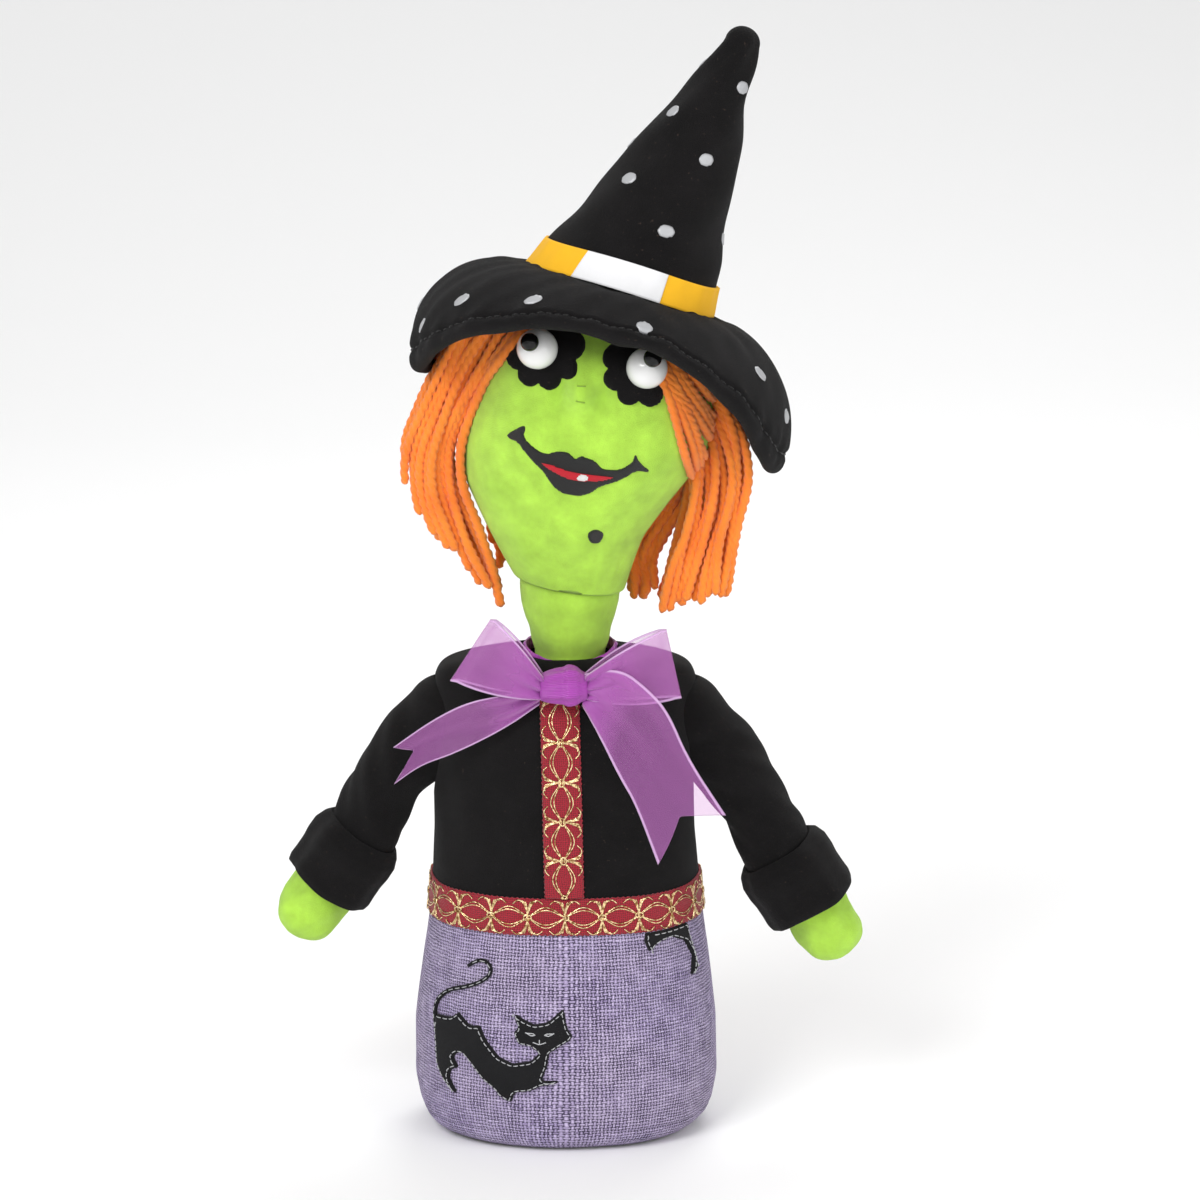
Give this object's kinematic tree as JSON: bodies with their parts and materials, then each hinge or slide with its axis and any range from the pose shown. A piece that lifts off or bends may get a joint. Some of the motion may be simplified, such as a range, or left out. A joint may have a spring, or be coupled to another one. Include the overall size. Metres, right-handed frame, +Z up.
{
  "type": "hand puppet",
  "caption": "Witch hand puppet: a cloth glove body with a stuffed head, yarn hair, a padded pointed hat and hollow sleeves that the fingers work.",
  "frame": {"origin": "centre of the open hem's rim, in the plane that the puppet stands on", "axes": "+Z up from the hem towards the hat, -Y the way the face looks, +X to the right as seen from the front"},
  "size_m": [0.2344, 0.1446, 0.45],
  "materials": {
    "lilac_burlap": "coarse open burlap weave",
    "black_felt": "felted, slightly fuzzy",
    "grey_lining": "plain cotton",
    "crimson_braid": "woven braid with gold metallic thread",
    "cat_felt": "flat felt",
    "purple_organza": "sheer organza with satin edges",
    "lime_velour": "soft short-pile velour",
    "white_fibrefill": "loose wadding",
    "tan_card": "rolled card, matte",
    "white_bead": "satin painted bead",
    "black_bead": "glossy",
    "black_thread": "satin-stitched thread",
    "red_thread": "satin-stitched thread",
    "white_thread": "satin-stitched thread",
    "orange_yarn": "soft plied yarn",
    "yellow_band": "satin ribbon, yellow with a white stretch at the front"
  },
  "bodies": {
    "body": {"hem_band": "lilac_burlap", "skirt_front": "lilac_burlap", "skirt_back": "lilac_burlap", "bodice_front": "black_felt", "bodice_back": "black_felt", "glove_lining": "grey_lining", "waist_braid": "crimson_braid", "front_braid": "crimson_braid", "cat_applique": "cat_felt", "cat_applique_upper": "cat_felt", "neck_ribbon": "purple_organza", "bow_knot": "purple_organza", "bow_loop_left": "purple_organza", "bow_loop_right": "purple_organza", "bow_tail_left": "purple_organza", "bow_tail_right": "purple_organza"},
    "neck": {"neck_skin": "lime_velour", "neck_stuffing": "white_fibrefill", "finger_tube": "tan_card"},
    "head": {"head_front": "lime_velour", "head_back": "lime_velour", "head_stuffing": "white_fibrefill", "eye_patch_left": "cat_felt", "eye_patch_right": "cat_felt", "eye_bead_left": "white_bead", "eye_bead_right": "white_bead", "pupil_bead_left": "black_bead", "pupil_bead_right": "black_bead", "mouth_embroidery": "black_thread", "lip_embroidery": "red_thread", "tooth_embroidery": "white_thread", "beauty_mark": "black_thread", "hair_left": "orange_yarn", "hair_right": "orange_yarn", "hair_back": "orange_yarn", "hat_crown": "black_felt", "hat_stuffing": "white_fibrefill", "hat_brim_top": "black_felt", "hat_brim_under": "black_felt", "hat_brim_wadding": "white_fibrefill", "hat_band": "yellow_band"},
    "left_arm": {"sleeve_left": "black_felt"},
    "left_hand": {"cuff_left": "black_felt", "hand_left": "lime_velour", "hand_stuffing_left": "white_fibrefill"},
    "right_arm": {"sleeve_right": "black_felt"},
    "right_hand": {"cuff_right": "black_felt", "hand_right": "lime_velour", "hand_stuffing_right": "white_fibrefill"}
  },
  "joints": [
    {"name": "neck_nod", "type": "hinge", "parent": "body", "child": "neck", "pos_m": [0.002, 0, 0.201], "axis": [1, 0, 0], "range_deg": [-10, 9]},
    {"name": "head_tilt", "type": "hinge", "parent": "neck", "child": "head", "pos_m": [0.002, 0, 0.23], "axis": [0, 1, 0], "range_deg": [-20, 8]},
    {"name": "left_arm_raise", "type": "hinge", "parent": "body", "child": "left_arm", "pos_m": [-0.048, 0, 0.172], "axis": [0, 1, 0], "range_deg": [-6, 75]},
    {"name": "right_arm_raise", "type": "hinge", "parent": "body", "child": "right_arm", "pos_m": [0.048, 0, 0.172], "axis": [0, -1, 0], "range_deg": [-6, 75]},
    {"name": "left_hand_curl", "type": "hinge", "parent": "left_arm", "child": "left_hand", "pos_m": [-0.08435, 0, 0.11811], "axis": [-0.829, 0, 0.5592], "range_deg": [0, 35]},
    {"name": "right_hand_curl", "type": "hinge", "parent": "right_arm", "child": "right_hand", "pos_m": [0.0883, 0, 0.10994], "axis": [-0.8387, 0, -0.5446], "range_deg": [0, 35]}
  ]
}
